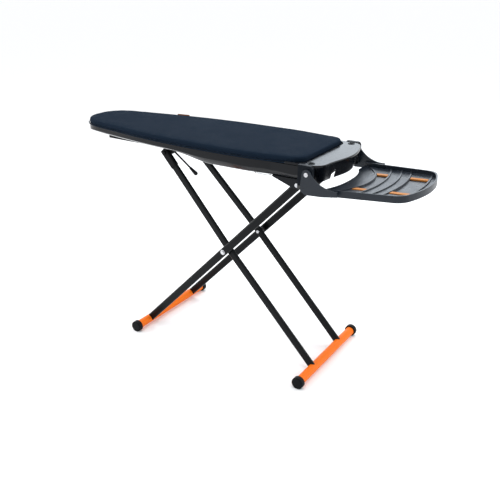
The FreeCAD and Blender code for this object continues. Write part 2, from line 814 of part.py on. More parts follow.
def tray_end_x():
    a = math.radians(tray_tilt)
    drop = tray_rim_drop + tray_rim_height
    return tray_pivot.x + (tray_reach - drop * math.sin(a)) / math.cos(a)


def tray_inner_wire(z):
    """Front edge of the tray floor: a bow that follows the heel."""
    bow = tray_pivot.x + tray_inner_bow
    curve = Part.BSplineCurve()
    points = [V(bow - 34, 150, z), V(bow - 9, 88, z), V(bow, 0, z), V(bow - 9, -88, z), V(bow - 34, -150, z)]
    curve.interpolate(points)
    ends = [V(bow - 34, -150, z), V(bow - 160, -150, z), V(bow - 160, 150, z), V(bow - 34, 150, z)]
    return Part.Wire([curve.toShape(), Part.makePolygon(ends)])


def tray_plan(inset, z):
    """Closed plan wire of the tray between the ears and the bowed outer end."""
    front = tray_pivot.x - 26.0
    end = tray_end_x() - inset
    y0 = tray_half_width - inset
    y1 = tray_end_half_width - inset
    sag = tray_end_sag
    corner = tray_corner_radius
    side_end = V(end - sag - corner, y1, z)
    corner_mid = V(end - sag - corner * 0.24, y1 - corner * 0.34, z)
    corner_end = V(end - sag + 8, y1 - corner * 0.95, z)
    tip = V(end, 0, z)

    def other(p):
        return V(p.x, -p.y, p.z)

    edges = [
        Part.LineSegment(V(front, y0, z), side_end).toShape(),
        Part.Arc(side_end, corner_mid, corner_end).toShape(),
        Part.Arc(corner_end, tip, other(corner_end)).toShape(),
        Part.Arc(other(corner_end), other(corner_mid), other(side_end)).toShape(),
        Part.LineSegment(other(side_end), V(front, -y0, z)).toShape(),
        Part.LineSegment(V(front, -y0, z), V(front, y0, z)).toShape(),
    ]
    return Part.Wire(edges)


def tray_prism(inset, z0, z1):
    return Part.Face(tray_plan(inset, z0)).extrude(V(0, 0, z1 - z0))


def arc_band(near, far, z0, z1):
    """Floor area between two arcs, each given as distance of its crown beyond the pivot and radius."""
    near_crown, near_radius = near
    far_crown, far_radius = far
    outer = rod(V(tray_pivot.x + far_crown - far_radius, 0, z0), Z_DIR, far_radius, z1 - z0)
    inner = rod(V(tray_pivot.x + near_crown - near_radius, 0, z0), Z_DIR, near_radius, z1 - z0)
    return outer.cut(inner)


def tray_rib(crown, radius, z0, z1):
    return arc_band((crown - tray_rib_width, radius), (crown, radius), z0, z1)


# Ribs: crown distance beyond the pivot, radius. Pockets: near arc, far arc, half width.
TRAY_RIBS = ((156.0, 250.0), (201.0, 500.0), (244.0, 500.0), (280.0, 550.0), (358.0, 700.0))
POCKETS = (((158.0, 250.0), (193.0, 500.0), 116.0), ((282.0, 550.0), (350.0, 700.0), 111.0))


def tray_pocket(pocket, inset, z0, z1):
    (near_crown, near_radius), (far_crown, far_radius), half_width = pocket
    band = arc_band((near_crown + inset, near_radius), (far_crown - inset, far_radius), z0, z1)
    y1 = half_width - inset
    return band.common(box(tray_pivot.x + 60, tray_pivot.x + 400, -y1, y1, z0 - 1, z1 + 1))


def ear_blade():
    """Upright plate at the side, from the pivot down to the rim in a concave sweep."""
    x = tray_pivot.x
    z = tray_pivot.z
    rim = z - tray_rim_drop
    low = rim - tray_rim_height
    y0 = ear_inner_y
    start = V(x + ear_radius, y0, z)
    end = V(x + 122, y0, rim)
    middle = V(x + 52, y0, z - 32)
    underside = [
        end,
        V(x + 122, y0, low + 6),
        V(x + 60, y0, low),
        V(x - 8, y0, low),
        V(x - 26, y0, low + 14),
        V(x - 26, y0, z - 40),
        V(x - ear_radius, y0, z),
    ]
    edges = [
        Part.Arc(start, middle, end).toShape(),
        Part.makePolygon(underside),
        Part.Arc(V(x - ear_radius, y0, z), V(x, y0, z + ear_radius), start).toShape(),
    ]
    return Part.Face(Part.Wire(edges)).extrude(V(0, ear_thickness, 0))


def make_tray():
    rim_z = tray_pivot.z - tray_rim_drop
    low_z = rim_z - tray_rim_height
    floor_z = tray_pivot.z - tray_floor_drop
    keep_front = tray_pivot.x + 34.0
    slab = tray_prism(0, low_z, rim_z)
    inside = tray_prism(tray_wall, floor_z, rim_z + 5)
    under = tray_prism(tray_wall, low_z - 5, floor_z - tray_floor_thickness)
    bow = Part.Face(tray_inner_wire(low_z - 5)).extrude(V(0, 0, 60))
    front_cut = box(tray_pivot.x - 100, keep_front, -ear_inner_y + 60, ear_inner_y - 60, low_z - 5, rim_z + 5)
    tray = slab.cut(inside).cut(under).cut(bow).cut(front_cut)
    cheek_room = box(tray_pivot.x - 60, tray_pivot.x + 38, -ear_inner_y, ear_inner_y, low_z - 5, rim_z + 5)
    tray = tray.cut(cheek_room)
    room = tray_prism(tray_wall, floor_z - 1, rim_z).cut(bow).cut(cheek_room)
    for crown, radius in TRAY_RIBS:
        rib = tray_rib(crown, radius, floor_z - 1, floor_z + tray_rib_height)
        tray = tray.fuse(rib.common(room).Solids)
    blade = ear_blade()
    gusset = box(tray_pivot.x + 44, tray_pivot.x + 100, 203, ear_inner_y + 2, low_z + 2, rim_z - 2)
    tray = tray.fuse([blade, mirror(blade), gusset, mirror(gusset)])
    for pocket in POCKETS:
        tray = tray.cut(tray_pocket(pocket, 0, floor_z - tray_pocket_depth, floor_z + 8))
        y1 = pocket[2] - grip_width
        groove = tray_pocket(pocket, 2, floor_z - groove_depth, floor_z + 8)
        x = tray_pivot.x
        band = box(x, tray_end_x(), y1 - groove_width, y1, floor_z - 10, floor_z + 10)
        groove = groove.common(band)
        tray = tray.cut(both(groove))
    hole_radius = axle_radius + running_clearance
    tray = tray.cut(cross_rod(tray_pivot.x, tray_pivot.z, hole_radius, -260, 260))
    return tray_frame(tray)


def make_tray_grips():
    """Soft grips at both ends of the two floor pockets."""
    floor_z = tray_pivot.z - tray_floor_drop
    grips = []
    for pocket in POCKETS:
        filled = tray_pocket(pocket, 1, floor_z - tray_pocket_depth, floor_z + 2.5)
        y1 = pocket[2]
        end = box(tray_pivot.x, tray_end_x(), y1 - grip_width, y1, floor_z - 10, floor_z + 10)
        grips.append(tray_frame(filled.common(end)))
    return both(Part.makeCompound(grips))


def make_tray_bushes():
    y0 = cheek_outer_y
    return both(tube(V(tray_pivot.x, y0, tray_pivot.z), Y_DIR, 10.0, axle_radius, ear_inner_y - y0 - 0.2))


def make_tray_stops():
    """Blocks on the cheeks that the ears rest on when the tray is down."""
    x1 = tray_pivot.x - 23.8
    z = tray_pivot.z - 60
    stop = box(x1 - 12, x1, cheek_outer_y, cheek_outer_y + 6, z, z + 14)
    return both(stop)


# ---- fan ----
def make_fan_housing():
    z0 = hull_bottom + hull_wall
    outer = rod(V(fan_x, 0, z0), Z_DIR, fan_housing_radius, fan_height)
    inner = rod(V(fan_x, 0, z0 + fan_wall), Z_DIR, fan_housing_radius - fan_wall, fan_height)
    intake = rod(V(fan_x, 0, z0 - 1), Z_DIR, intake_radius, fan_wall + 2)
    return outer.cut(inner).cut(intake)


def make_fan_motor():
    z0 = hull_bottom + hull_wall + 22
    motor = rod(V(fan_x, 0, z0), Z_DIR, motor_radius, 18)
    bridge = box(fan_x - fan_housing_radius + 3, fan_x + fan_housing_radius - 3, -9, 9, z0 + 15.5, z0 + 18)
    shaft = rod(V(fan_x, 0, z0 - 14), Z_DIR, 3.0, 14)
    return motor.fuse(bridge).fuse(shaft)


def make_fan_impeller():
    z0 = hull_bottom + hull_wall + 6
    hub = tube(V(fan_x, 0, z0), Z_DIR, 12.0, 3.0 + running_clearance, 14)
    disc = tube(V(fan_x, 0, z0 + 12), Z_DIR, impeller_radius, 3.0 + running_clearance, 2)
    wheel = hub.fuse(disc)
    blades = []
    for k in range(impeller_blades):
        blade = box(fan_x + impeller_radius - 20, fan_x + impeller_radius - 1, -1.0, 1.0, z0, z0 + 12.5)
        blade.rotate(V(fan_x + impeller_radius - 10, 0, z0), Z_DIR, 25)
        blade.rotate(V(fan_x, 0, z0), Z_DIR, 360.0 * k / impeller_blades)
        blades.append(blade)
    return wheel.fuse(blades)


def make_fan_grille():
    z1 = hull_bottom - seat_gap
    centre = V(fan_x, 0, z1 - 3)
    plate = rod(centre, Z_DIR, impeller_radius, 3)
    slots = []
    for k in range(-5, 6):
        half = math.sqrt((impeller_radius - 16) ** 2 - (k * 9.0) ** 2)
        slots.append(box(fan_x - half, fan_x + half, k * 9.0 - 2.5, k * 9.0 + 2.5, z1 - 4, z1 + 1))
    return plate.cut(Part.makeCompound(slots))


def make_switch_bezel():
    x = switch_x
    y = hull_heel_half_width
    z = switch_z
    frame = box(x - 13, x + 13, y + 0.1, y + 1.6, z - 9, z + 9)
    barrel = box(x - 10.5, x + 10.5, y - 14, y + 0.1, z - 6.5, z + 6.5)
    hollow = box(x - 8.5, x + 8.5, y - 12, y + 5, z - 5, z + 5)
    return frame.fuse(barrel).cut(hollow)


def make_switch_rocker():
    x = switch_x
    y = hull_heel_half_width
    outline = [(x - 7, y - 7), (x + 7, y - 7), (x + 7, y + 1.2), (x, y - 0.4), (x - 7, y - 0.4)]
    wire = Part.makePolygon([V(px, py, switch_z - 4.6) for px, py in outline + outline[:1]])
    return Part.Face(wire).extrude(V(0, 0, 9.2))


def inlet_block(margin, z0, z1):
    x = inlet_length / 2 + margin
    y = inlet_width / 2 + margin
    return box(inlet_x - x, inlet_x + x, inlet_y - y, inlet_y + y, z0, z1)


def make_power_inlet():
    """Recessed mains socket in the hull floor, open downwards."""
    flange = inlet_block(3.0, hull_bottom - 1.5, hull_bottom)
    shroud = inlet_block(0.0, hull_bottom, hull_bottom + 20)
    well = inlet_block(-3.0, hull_bottom - 3, hull_bottom + 17)
    pins = []
    for x in (inlet_x - 6, inlet_x, inlet_x + 6):
        pins.append(box(x - 1, x + 1, inlet_y - 2, inlet_y + 2, hull_bottom + 5, hull_bottom + 18))
    return flange.fuse(shroud).cut(well).fuse(pins)


# ---- transport lock ----
def make_transport_lock():
    z = hull_bottom - 2.6
    r = lock_wire_radius
    x0 = lock_x
    x1 = lock_x + lock_length
    y0 = lock_hinge_y
    y1 = lock_hinge_y + lock_reach
    corner = 10.0
    half = corner * (1 - math.sqrt(0.5))
    a = V(lock_x - 12, y0, z)
    edges = [
        Part.LineSegment(a, V(x0 - corner, y0, z)).toShape(),
        Part.Arc(V(x0 - corner, y0, z), V(x0 - half, y0 + half, z), V(x0, y0 + corner, z)).toShape(),
        Part.LineSegment(V(x0, y0 + corner, z), V(x0, y1 - corner, z)).toShape(),
        Part.Arc(V(x0, y1 - corner, z), V(x0 + half, y1 - half, z), V(x0 + corner, y1, z)).toShape(),
        Part.LineSegment(V(x0 + corner, y1, z), V(x1 - corner, y1, z)).toShape(),
        Part.Arc(V(x1 - corner, y1, z), V(x1 - half, y1 - half, z), V(x1, y1 - corner, z)).toShape(),
        Part.LineSegment(V(x1, y1 - corner, z), V(x1, y0 + corner, z)).toShape(),
        Part.Arc(V(x1, y0 + corner, z), V(x1 + half, y0 + half, z), V(x1 + corner, y0, z)).toShape(),
        Part.LineSegment(V(x1 + corner, y0, z), V(x1 + corner + 12, y0, z)).toShape(),
    ]
    path = Part.Wire(edges)
    section = Part.Wire(Part.makeCircle(r, edges[0].Vertexes[0].Point, X_DIR))
    return mirror(path.makePipeShell([section], True, False))


def make_lock_clips():
    z1 = hull_bottom
    y = -lock_hinge_y
    clips = []
    for x in (lock_x - 21, lock_x + lock_length + 13):
        block = box(x, x + 8, y - 6, y + 6, z1 - 5.4, z1)
        hole = rod(V(x - 1, y, hull_bottom - 2.6), X_DIR, lock_wire_radius + running_clearance, 10)
        clips.append(block.cut(hole))
    return Part.makeCompound(clips)


os.makedirs("parts", exist_ok=True)
export(make_padded_cover(), "padded_cover")
export(make_mesh_top(), "mesh_top")
export(make_hull(), "hull")
export(make_heel_deck(), "heel_deck")
export(make_socket_sleeves(), "socket_sleeves")
export(make_heel_apron(), "heel_apron")
for label, side in SIDES:
    export(on_side(make_side_cheek(), side), f"side_cheek_{label}")
    export(on_side(make_leg_bracket(), side), f"leg_bracket_{label}")
    export(on_side(make_outer_leg(), side), f"outer_leg_{label}")
    export(on_side(make_inner_leg(), side), f"inner_leg_{label}")
    export(on_side(make_rail(), side), f"slide_rail_{label}")
export(make_tray_pivot_pins(), "tray_pivot_pins")
export(make_leg_axle(), "leg_axle")
export(make_bracket_screws(), "bracket_screws")
export(make_pivot_spacers(), "pivot_spacers")
export(make_foot_bar(outer_foot), "outer_foot_bar")
export(make_foot_bar(inner_foot), "inner_foot_bar")
export(make_foot_caps(outer_foot), "outer_foot_caps")
export(make_foot_caps(inner_foot), "inner_foot_caps")
export(make_crossing_bolts(), "crossing_bolts")
export(make_crossing_nuts(), "crossing_nuts")
export(make_crossing_washers(), "crossing_washers")
export(make_crossing_spacers(), "crossing_spacers")
export(make_rail_end_stops(), "rail_end_stops")
export(make_rail_mounts(), "rail_mounts")
export(make_carriage_blocks(), "carriage_blocks")
export(make_carriage_bridge(), "carriage_bridge")
export(make_carriage_axle(), "carriage_axle")
export(make_axle_end_caps(), "axle_end_caps")
export(make_leg_end_sleeves(), "leg_end_sleeves")
export(make_height_rack(), "height_rack")
export(make_lever(), "height_lever")
export(make_lever_knob(), "lever_knob")
export(make_latch_pawl(), "latch_pawl")
export(make_tray(), "iron_tray")
export(make_tray_grips(), "tray_grips")
export(make_tray_bushes(), "tray_bushes")
export(make_tray_stops(), "tray_stops")
export(make_fan_housing(), "fan_housing")
export(make_fan_motor(), "fan_motor")
export(make_fan_impeller(), "fan_impeller")
export(make_fan_grille(), "fan_grille")
export(make_switch_bezel(), "switch_bezel")
export(make_switch_rocker(), "switch_rocker")
export(make_power_inlet(), "power_inlet")
export(make_transport_lock(), "transport_lock")
export(make_lock_clips(), "lock_clips")
print("crossing", crossing, "leg_pivot", leg_pivot, "carriage_axle", carriage_axle, "slope", rail_slope)
print("tray_pivot", tray_pivot, "nose", nose_x)
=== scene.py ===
import bpy
import bmesh
import json
import math
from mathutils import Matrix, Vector, noise


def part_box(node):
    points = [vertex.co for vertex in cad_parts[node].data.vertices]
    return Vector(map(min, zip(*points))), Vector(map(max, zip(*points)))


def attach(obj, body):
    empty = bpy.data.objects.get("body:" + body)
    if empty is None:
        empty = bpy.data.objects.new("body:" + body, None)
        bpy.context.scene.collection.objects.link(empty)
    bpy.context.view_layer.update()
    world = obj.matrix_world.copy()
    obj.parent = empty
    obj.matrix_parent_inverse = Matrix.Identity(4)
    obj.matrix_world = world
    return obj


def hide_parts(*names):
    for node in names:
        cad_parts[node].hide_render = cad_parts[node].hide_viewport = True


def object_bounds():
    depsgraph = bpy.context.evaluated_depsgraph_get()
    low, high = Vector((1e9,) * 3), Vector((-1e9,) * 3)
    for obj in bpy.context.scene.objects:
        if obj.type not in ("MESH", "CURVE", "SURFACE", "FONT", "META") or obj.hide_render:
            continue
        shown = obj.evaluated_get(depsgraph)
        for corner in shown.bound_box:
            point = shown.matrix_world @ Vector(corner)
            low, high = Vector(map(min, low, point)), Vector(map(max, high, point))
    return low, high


# Ironing board with a woven padded cover, a glossy moulded hull, crossed legs and a fold-over iron tray.

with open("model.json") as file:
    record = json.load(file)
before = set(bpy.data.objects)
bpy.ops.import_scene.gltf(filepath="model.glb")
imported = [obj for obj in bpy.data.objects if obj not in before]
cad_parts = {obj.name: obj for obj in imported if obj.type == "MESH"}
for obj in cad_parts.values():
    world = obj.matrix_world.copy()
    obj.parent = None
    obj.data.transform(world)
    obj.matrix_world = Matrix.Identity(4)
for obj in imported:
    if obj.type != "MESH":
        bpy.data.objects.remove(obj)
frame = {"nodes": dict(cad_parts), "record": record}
cad_low, cad_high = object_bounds()
nodes = frame["nodes"]
scene = bpy.context.scene


# ---------------------------------------------------------------------------------------------------------
# Shader workshop: small helpers for node trees
# ---------------------------------------------------------------------------------------------------------


class Tree:
    """Adds nodes to a shader tree and links them by value or by socket."""

    def __init__(self, node_tree):
        self.tree = node_tree

    def add(self, kind, inputs=None, **settings):
        node = self.tree.nodes.new(kind)
        for name, value in settings.items():
            setattr(node, name, value)
        for name, value in (inputs or {}).items():
            self.feed(node.inputs[name], value)
        return node

    def feed(self, socket, value):
        if isinstance(value, bpy.types.NodeSocket):
            self.tree.links.new(value, socket)
        else:
            socket.default_value = value

    def sum_of(self, operation, a, b=0.0, clamp=False):
        node = self.add("ShaderNodeMath", {0: a, 1: b}, operation=operation, use_clamp=clamp)
        return node.outputs[0]

    def blend_value(self, share, a, b):
        node = self.add("ShaderNodeMix", {0: share, 2: a, 3: b}, data_type="FLOAT")
        return node.outputs[0]

    def blend_colour(self, share, a, b, how="MIX"):
        node = self.add("ShaderNodeMix", {0: share, 6: a, 7: b}, data_type="RGBA", blend_type=how)
        return node.outputs[2]

    def ramp(self, value, low, high):
        node = self.add("ShaderNodeMapRange", {"Value": value, "From Min": low, "From Max": high})
        return node.outputs["Result"]

    def noise(self, where, scale, detail=3.0, roughness=0.55):
        node = self.add("ShaderNodeTexNoise", {"Vector": where, "Scale": scale, "Detail": detail,
                                               "Roughness": roughness})
        return node.outputs["Fac"]


def shader_group(name, inputs, outputs):
    """New node group with float inputs (name, default) and outputs (name, kind)."""
    group = bpy.data.node_groups.new(name, "ShaderNodeTree")
    for label, default in inputs:
        kind = "NodeSocketColor" if isinstance(default, tuple) else "NodeSocketFloat"
        socket = group.interface.new_socket(name=label, in_out="INPUT", socket_type=kind)
        socket.default_value = default
    for label, kind in outputs:
        group.interface.new_socket(name=label, in_out="OUTPUT", socket_type=kind)
    tree = Tree(group)
    entry = tree.add("NodeGroupInput")
    leave = tree.add("NodeGroupOutput")
    return group, tree, entry.outputs, leave.inputs


def object_place(tree):
    return tree.add("ShaderNodeTexCoord").outputs["Object"]


FLOAT = "NodeSocketFloat"
COLOUR = "NodeSocketColor"
VECTOR = "NodeSocketVector"


def make_plain_weave():
    """Over-and-under threads in two directions, with slubs, a slow random change of tone, and painted shade:
    colour lighter on thread crowns and darker in the gaps between threads.
    """
    group, t, given, out = shader_group(
        "plain_weave",
        [("Thread Pitch", 0.0011), ("Slub", 0.35), ("Thread Colour", (0.02, 0.03, 0.05, 1.0)),
         ("Fleck Colour", (0.05, 0.07, 0.1, 1.0))],
        [("Colour", COLOUR), ("Height", FLOAT), ("Shine", FLOAT)])
    place = object_place(t)
    split = t.add("ShaderNodeSeparateXYZ", {0: place})
    drop = t.sum_of("MULTIPLY", split.outputs["Z"], 0.8)
    wobble = t.sum_of("MULTIPLY", t.sum_of("SUBTRACT", t.noise(place, 90.0), 0.5), 0.0012)
    warp_place = t.sum_of("ADD", t.sum_of("ADD", split.outputs["X"], drop), wobble)
    weft_place = t.sum_of("ADD", t.sum_of("SUBTRACT", split.outputs["Y"], drop), wobble)
    turn = t.sum_of("DIVIDE", math.pi, given["Thread Pitch"])
    warp = t.sum_of("SINE", t.sum_of("MULTIPLY", warp_place, turn))
    weft = t.sum_of("SINE", t.sum_of("MULTIPLY", weft_place, turn))
    over = t.sum_of("MULTIPLY", warp, weft)
    rows = t.sum_of("ABSOLUTE", warp)
    columns = t.sum_of("ABSOLUTE", weft)
    on_top = t.sum_of("GREATER_THAN", over, 0.0)
    thread = t.blend_value(on_top, rows, columns)
    slub = t.noise(place, 420.0, 2.0)
    height = t.sum_of("ADD", thread, t.sum_of("MULTIPLY", slub, given["Slub"]))
    patches = t.noise(place, 7.0, 4.0)
    fleck = t.sum_of("MULTIPLY", t.ramp(t.noise(place, 900.0, 1.0), 0.52, 0.74), 0.55)
    # painted shade and highlight: the thread height darkens the colour in the gaps between threads and
    # lightens the crowns; the noise patches add a random change of tone
    painted_thread_shade_and_tone = t.sum_of("ADD", t.sum_of("MULTIPLY", thread, 0.3), t.sum_of("MULTIPLY", patches, 0.5))
    colour = t.blend_colour(t.sum_of("ADD", fleck, t.sum_of("MULTIPLY", painted_thread_shade_and_tone, 0.35), True),
                            given["Thread Colour"], given["Fleck Colour"])
    t.feed(out["Colour"], colour)
    t.feed(out["Height"], height)
    t.feed(out["Shine"], t.sum_of("MULTIPLY", patches, 0.2))
    return group


def make_edge_wear():
    """Mask of worn corners and a normal rounded over them."""
    group, t, given, out = shader_group(
        "edge_wear", [("Edge Radius", 0.001), ("Amount", 0.5), ("Break Up", 60.0)],
        [("Wear", FLOAT), ("Normal", VECTOR)])
    place = object_place(t)
    rounded = t.add("ShaderNodeBevel", {"Radius": given["Edge Radius"]}, samples=4)
    flat = t.add("ShaderNodeNewGeometry").outputs["Normal"]
    turned = t.add("ShaderNodeVectorMath", {0: rounded.outputs[0], 1: flat}, operation="DOT_PRODUCT")
    edge = t.sum_of("SUBTRACT", 1.0, turned.outputs["Value"], True)
    broken = t.ramp(t.noise(place, given["Break Up"], 4.0, 0.7), 0.42, 0.62)
    t.feed(out["Wear"], t.sum_of("MULTIPLY", t.sum_of("MULTIPLY", t.ramp(edge, 0.03, 0.25), broken),
                                 given["Amount"], True))
    t.feed(out["Normal"], rounded.outputs[0])
    return group


def make_settled_dust():
    """Light dust where the surface faces up, broken into soft patches."""
    group, t, given, out = shader_group(
        "settled_dust", [("Amount", 0.3), ("Patch Scale", 14.0)], [("Dust", FLOAT)])
    place = object_place(t)
    normal = t.add("ShaderNodeNewGeometry").outputs["Normal"]
    facing = t.add("ShaderNodeSeparateXYZ", {0: normal}).outputs["Z"]
    upward = t.ramp(facing, 0.35, 1.0)
    patches = t.ramp(t.noise(place, given["Patch Scale"], 5.0, 0.65), 0.35, 0.75)
    specks = t.ramp(t.noise(place, 1400.0, 1.0), 0.6, 0.72)
    soft = t.sum_of("ADD", t.sum_of("MULTIPLY", patches, 0.6), t.sum_of("MULTIPLY", specks, 0.4))
    t.feed(out["Dust"], t.sum_of("MULTIPLY", t.sum_of("MULTIPLY", soft, upward), given["Amount"], True))
    return group


def make_moulded_grain():
    """Fine spark-eroded grain of moulded plastic, with faint flow marks."""
    group, t, given, out = shader_group(
        "moulded_grain", [("Grain Scale", 1600.0), ("Flow", 0.3)], [("Height", FLOAT), ("Mottle", FLOAT)])
    place = object_place(t)
    cells = t.add("ShaderNodeTexVoronoi", {"Vector": place, "Scale": given["Grain Scale"]})
    pits = cells.outputs["Distance"]
    flow = t.noise(place, 9.0, 2.0)
    t.feed(out["Height"], t.sum_of("ADD", pits, t.sum_of("MULTIPLY", flow, given["Flow"])))
    t.feed(out["Mottle"], t.noise(place, 22.0, 4.0))
    return group


def make_orange_peel():
    """Slow ripple of a sprayed or powder coated surface, with rare nibs."""
    group, t, given, out = shader_group("orange_peel", [("Ripple Scale", 260.0), ("Nibs", 0.2)],
                                        [("Height", FLOAT), ("Mottle", FLOAT)])
    place = object_place(t)
    ripple = t.noise(place, given["Ripple Scale"], 2.0, 0.4)
    nib = t.ramp(t.noise(place, 700.0, 1.0), 0.7, 0.78)
    t.feed(out["Height"], t.sum_of("ADD", ripple, t.sum_of("MULTIPLY", nib, given["Nibs"])))
    t.feed(out["Mottle"], t.noise(place, 12.0, 4.0))
    return group


def make_fine_scratches():
    """Hairline scuffs that break up a polished surface."""
    group, t, given, out = shader_group("fine_scratches", [("Density", 0.5), ("Length", 40.0)],
                                        [("Scratch", FLOAT)])
    place = object_place(t)
    marks = None
    for turn_by, stretch in ((0.4, 55.0), (-0.9, 70.0), (1.7, 48.0)):
        turned = t.add("ShaderNodeMapping", {"Vector": place, "Rotation": (0.2, 0.1, turn_by),
                                             "Scale": (1.0, stretch, 8.0)})
        line = t.ramp(t.noise(turned.outputs[0], given["Length"], 1.0), 0.66, 0.7)
        marks = line if marks is None else t.sum_of("MAXIMUM", marks, line)
    t.feed(out["Scratch"], t.sum_of("MULTIPLY", marks, given["Density"], True))
    return group


def make_rolled_streaks():
    """Long streaks left by rolling or drawing metal along X."""
    group, t, given, out = shader_group("rolled_streaks", [("Streak Scale", 30.0)], [("Streak", FLOAT)])
    place = object_place(t)
    stretched = t.add("ShaderNodeMapping", {"Vector": place, "Scale": (1.0, 30.0, 30.0)})
    t.feed(out["Streak"], t.noise(stretched.outputs[0], given["Streak Scale"], 4.0, 0.6))
    return group


GROUPS = {
    "weave": make_plain_weave(),
    "wear": make_edge_wear(),
    "dust": make_settled_dust(),
    "grain": make_moulded_grain(),
    "peel": make_orange_peel(),
    "scratch": make_fine_scratches(),
    "streak": make_rolled_streaks(),
}


def use(tree, effect, **values):
    node = tree.add("ShaderNodeGroup", node_tree=GROUPS[effect])
    for label, value in values.items():
        tree.feed(node.inputs[label.replace("_", " ")], value)
    return node.outputs


def new_material(name):
    material = bpy.data.materials.new(name)
    material.use_nodes = True
    material.node_tree.nodes.clear()
    tree = Tree(material.node_tree)
    shader = tree.add("ShaderNodeBsdfPrincipled")
    output = tree.add("ShaderNodeOutputMaterial")
    tree.feed(output.inputs["Surface"], shader.outputs[0])
    return material, tree, shader.inputs


def bump(tree, height, depth, normal=None):
    inputs = {"Height": height, "Distance": depth, "Strength": 1.0}
    if normal is not None:
        inputs["Normal"] = normal
    return tree.add("ShaderNodeBump", inputs).outputs[0]


# ---------------------------------------------------------------------------------------------------------
# Finishes
# ---------------------------------------------------------------------------------------------------------


def cotton_cover_finish(name, thread, fleck, pitch=0.0011, depth=0.00035):
    material, t, surface = new_material(name)
    weave = use(t, "weave", Thread_Pitch=pitch, Thread_Colour=thread, Fleck_Colour=fleck)
    dust = use(t, "dust", Amount=0.025, Patch_Scale=18.0)
    t.feed(surface["Base Color"], t.blend_colour(dust["Dust"], weave["Colour"], (0.22, 0.24, 0.27, 1.0)))
    t.feed(surface["Roughness"], t.sum_of("SUBTRACT", 0.95, weave["Shine"]))
    t.feed(surface["Normal"], bump(t, weave["Height"], depth))
    surface["Sheen Weight"].default_value = 0.012
    surface["Sheen Roughness"].default_value = 0.45
    surface["Sheen Tint"].default_value = (0.55, 0.68, 0.9, 1.0)
    surface["Specular IOR Level"].default_value = 0.025
    return material


def gloss_moulding_finish(name, colour, worn, roughness=0.16, coat=0.04, edge=0.0012):
    """Polished moulding with hairline scuffs, rounded edges and a trace of dust."""
    material, t, surface = new_material(name)
    wear = use(t, "wear", Edge_Radius=edge, Amount=0.35, Break_Up=90.0)
    scuffs = use(t, "scratch", Density=0.5)
    dust = use(t, "dust", Amount=0.03, Patch_Scale=11.0)
    grain = use(t, "grain", Grain_Scale=300.0, Flow=0.8)
    base = t.blend_colour(wear["Wear"], colour, worn)
    t.feed(surface["Base Color"], t.blend_colour(dust["Dust"], base, (0.3, 0.31, 0.33, 1.0)))
    rough = t.sum_of("ADD", roughness, t.sum_of("MULTIPLY", scuffs["Scratch"], 0.14))
    rough = t.sum_of("ADD", rough, t.sum_of("MULTIPLY", dust["Dust"], 0.9))
    t.feed(surface["Roughness"], t.sum_of("ADD", rough, t.sum_of("MULTIPLY", grain["Mottle"], 0.05), True))
    t.feed(surface["Normal"], bump(t, grain["Height"], 0.00003, wear["Normal"]))
    surface["Specular IOR Level"].default_value = 0.2
    surface["Coat Weight"].default_value = coat
    surface["Coat Roughness"].default_value = 0.06
    return material


def grained_moulding_finish(name, colour, worn, roughness=0.45, grain_scale=1500.0, depth=0.00006,
                            edge=0.0008, dusty=0.02, specular=0.08):
    """Satin moulded plastic with a fine eroded grain."""
    material, t, surface = new_material(name)
    wear = use(t, "wear", Edge_Radius=edge, Amount=0.5, Break_Up=130.0)
    grain = use(t, "grain", Grain_Scale=grain_scale, Flow=0.3)
    dust = use(t, "dust", Amount=dusty, Patch_Scale=16.0)
    base = t.blend_colour(wear["Wear"], colour, worn)
    base = t.blend_colour(t.sum_of("MULTIPLY", grain["Mottle"], 0.25), base, worn)
    t.feed(surface["Base Color"], t.blend_colour(dust["Dust"], base, (0.3, 0.31, 0.33, 1.0)))
    rough = t.sum_of("ADD", roughness - 0.08, t.sum_of("MULTIPLY", grain["Mottle"], 0.2))
    t.feed(surface["Roughness"], t.sum_of("ADD", rough, t.sum_of("MULTIPLY", dust["Dust"], 0.5), True))
    t.feed(surface["Normal"], bump(t, grain["Height"], depth, wear["Normal"]))
    surface["Specular IOR Level"].default_value = specular
    return material


def powder_coat_finish(name, colour, worn, roughness=0.32, metal_at_wear=0.8, amount=0.5, edge=0.001,
                       coat=0.04):
    """Powder coated steel: rippled skin, bright steel where corners have rubbed through."""
    material, t, surface = new_material(name)
    wear = use(t, "wear", Edge_Radius=edge, Amount=amount, Break_Up=110.0)
    peel = use(t, "peel", Ripple_Scale=320.0)
    scuffs = use(t, "scratch", Density=0.7, Length=22.0)
    dust = use(t, "dust", Amount=0.03, Patch_Scale=20.0)
    base = t.blend_colour(wear["Wear"], colour, worn)
    t.feed(surface["Base Color"], t.blend_colour(dust["Dust"], base, (0.32, 0.33, 0.34, 1.0)))
    t.feed(surface["Metallic"], t.sum_of("MULTIPLY", wear["Wear"], metal_at_wear))
    rough = t.sum_of("ADD", roughness, t.sum_of("MULTIPLY", peel["Mottle"], 0.12))
    t.feed(surface["Roughness"], t.sum_of("ADD", rough, t.sum_of("MULTIPLY", scuffs["Scratch"], 0.2), True))
    t.feed(surface["Normal"], bump(t, peel["Height"], 0.00005, wear["Normal"]))
    surface["Specular IOR Level"].default_value = 0.11
    surface["Coat Weight"].default_value = coat
    surface["Coat Roughness"].default_value = 0.2
    return material


